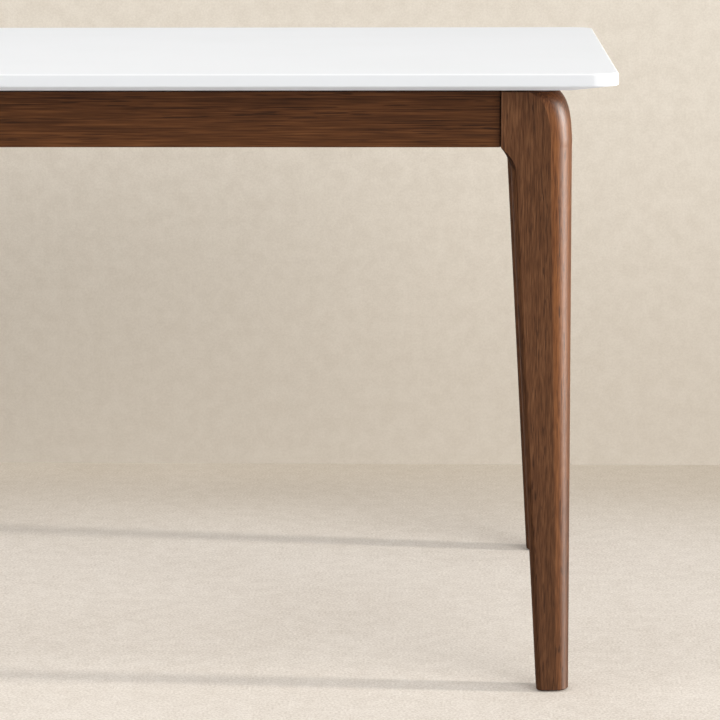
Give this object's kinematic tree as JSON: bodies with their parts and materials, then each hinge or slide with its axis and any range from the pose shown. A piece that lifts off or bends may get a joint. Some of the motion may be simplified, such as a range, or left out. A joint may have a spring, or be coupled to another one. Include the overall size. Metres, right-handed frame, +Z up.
{
  "type": "dining table",
  "caption": "Rectangular dining table with a thin white bevel-edged top on a walnut frame of aprons and tapered, shouldered legs with levelling glides.",
  "frame": {"origin": "on the floor, under the middle of the top", "axes": "+X along the table's length, +Y from front to back, +Z up"},
  "size_m": [1.8, 0.9, 0.75],
  "materials": {
    "white_lacquer": "satin white lacquer on a panel",
    "walnut": "satin oiled walnut",
    "beech": "plain sanded beech",
    "zinc_steel": "bright zinc plate",
    "black_nylon": "moulded nylon"
  },
  "bodies": {
    "table": {"back_apron": "walnut", "back_left_corner_block": "beech", "back_left_leg": "walnut", "back_right_corner_block": "beech", "back_right_leg": "walnut", "corner_block_screws": "zinc_steel", "front_apron": "walnut", "front_left_corner_block": "beech", "front_left_leg": "walnut", "front_right_corner_block": "beech", "front_right_leg": "walnut", "glide_inserts": "zinc_steel", "hanger_bolts": "zinc_steel", "hanger_nuts": "zinc_steel", "hanger_washers": "zinc_steel", "left_cross_rail": "beech", "left_end_apron": "walnut", "leg_dowels": "beech", "rail_dowels": "beech", "right_cross_rail": "beech", "right_end_apron": "walnut", "tabletop": "white_lacquer", "top_fastener_plates": "zinc_steel", "top_fastener_screws": "zinc_steel"},
    "front_left_glide": {"front_left_glide_base": "black_nylon", "front_left_glide_stud": "zinc_steel"},
    "front_right_glide": {"front_right_glide_base": "black_nylon", "front_right_glide_stud": "zinc_steel"},
    "back_left_glide": {"back_left_glide_base": "black_nylon", "back_left_glide_stud": "zinc_steel"},
    "back_right_glide": {"back_right_glide_base": "black_nylon", "back_right_glide_stud": "zinc_steel"}
  },
  "joints": [
    {"name": "front_left_glide_height", "type": "slide", "parent": "table", "child": "front_left_glide", "axis": [0, 0, -1], "range_m": [0, 0.012]},
    {"name": "front_right_glide_height", "type": "slide", "parent": "table", "child": "front_right_glide", "axis": [0, 0, -1], "range_m": [0, 0.012]},
    {"name": "back_left_glide_height", "type": "slide", "parent": "table", "child": "back_left_glide", "axis": [0, 0, -1], "range_m": [0, 0.012]},
    {"name": "back_right_glide_height", "type": "slide", "parent": "table", "child": "back_right_glide", "axis": [0, 0, -1], "range_m": [0, 0.012]}
  ]
}
